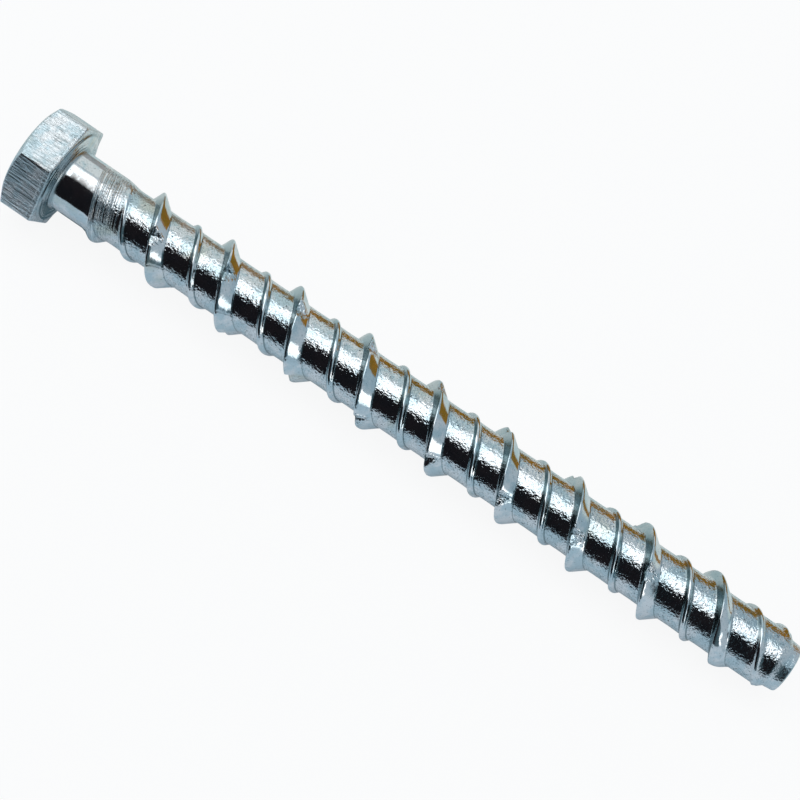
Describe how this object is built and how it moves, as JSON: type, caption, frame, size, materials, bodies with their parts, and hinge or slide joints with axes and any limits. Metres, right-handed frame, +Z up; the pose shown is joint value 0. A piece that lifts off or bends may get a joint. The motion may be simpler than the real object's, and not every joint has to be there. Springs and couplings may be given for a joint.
{
  "type": "concrete screw",
  "caption": "Self-tapping concrete screw with a hexagon head, a plain neck, a coarse high and low rolled thread with cutting notches, and a plain pilot tip.",
  "frame": {"origin": "centre of the bearing face under the head, on the screw's axis", "axes": "+X runs along the screw's axis from the head to the tip, +Z is up with one flat of the hexagon facing down, +Y completes the right-handed frame"},
  "size_m": [0.1575, 0.022, 0.019],
  "materials": {
    "concrete_screw": "bright zinc plated, cold formed and rolled"
  },
  "bodies": {
    "root": {"concrete_screw": "concrete_screw"}
  },
  "joints": []
}
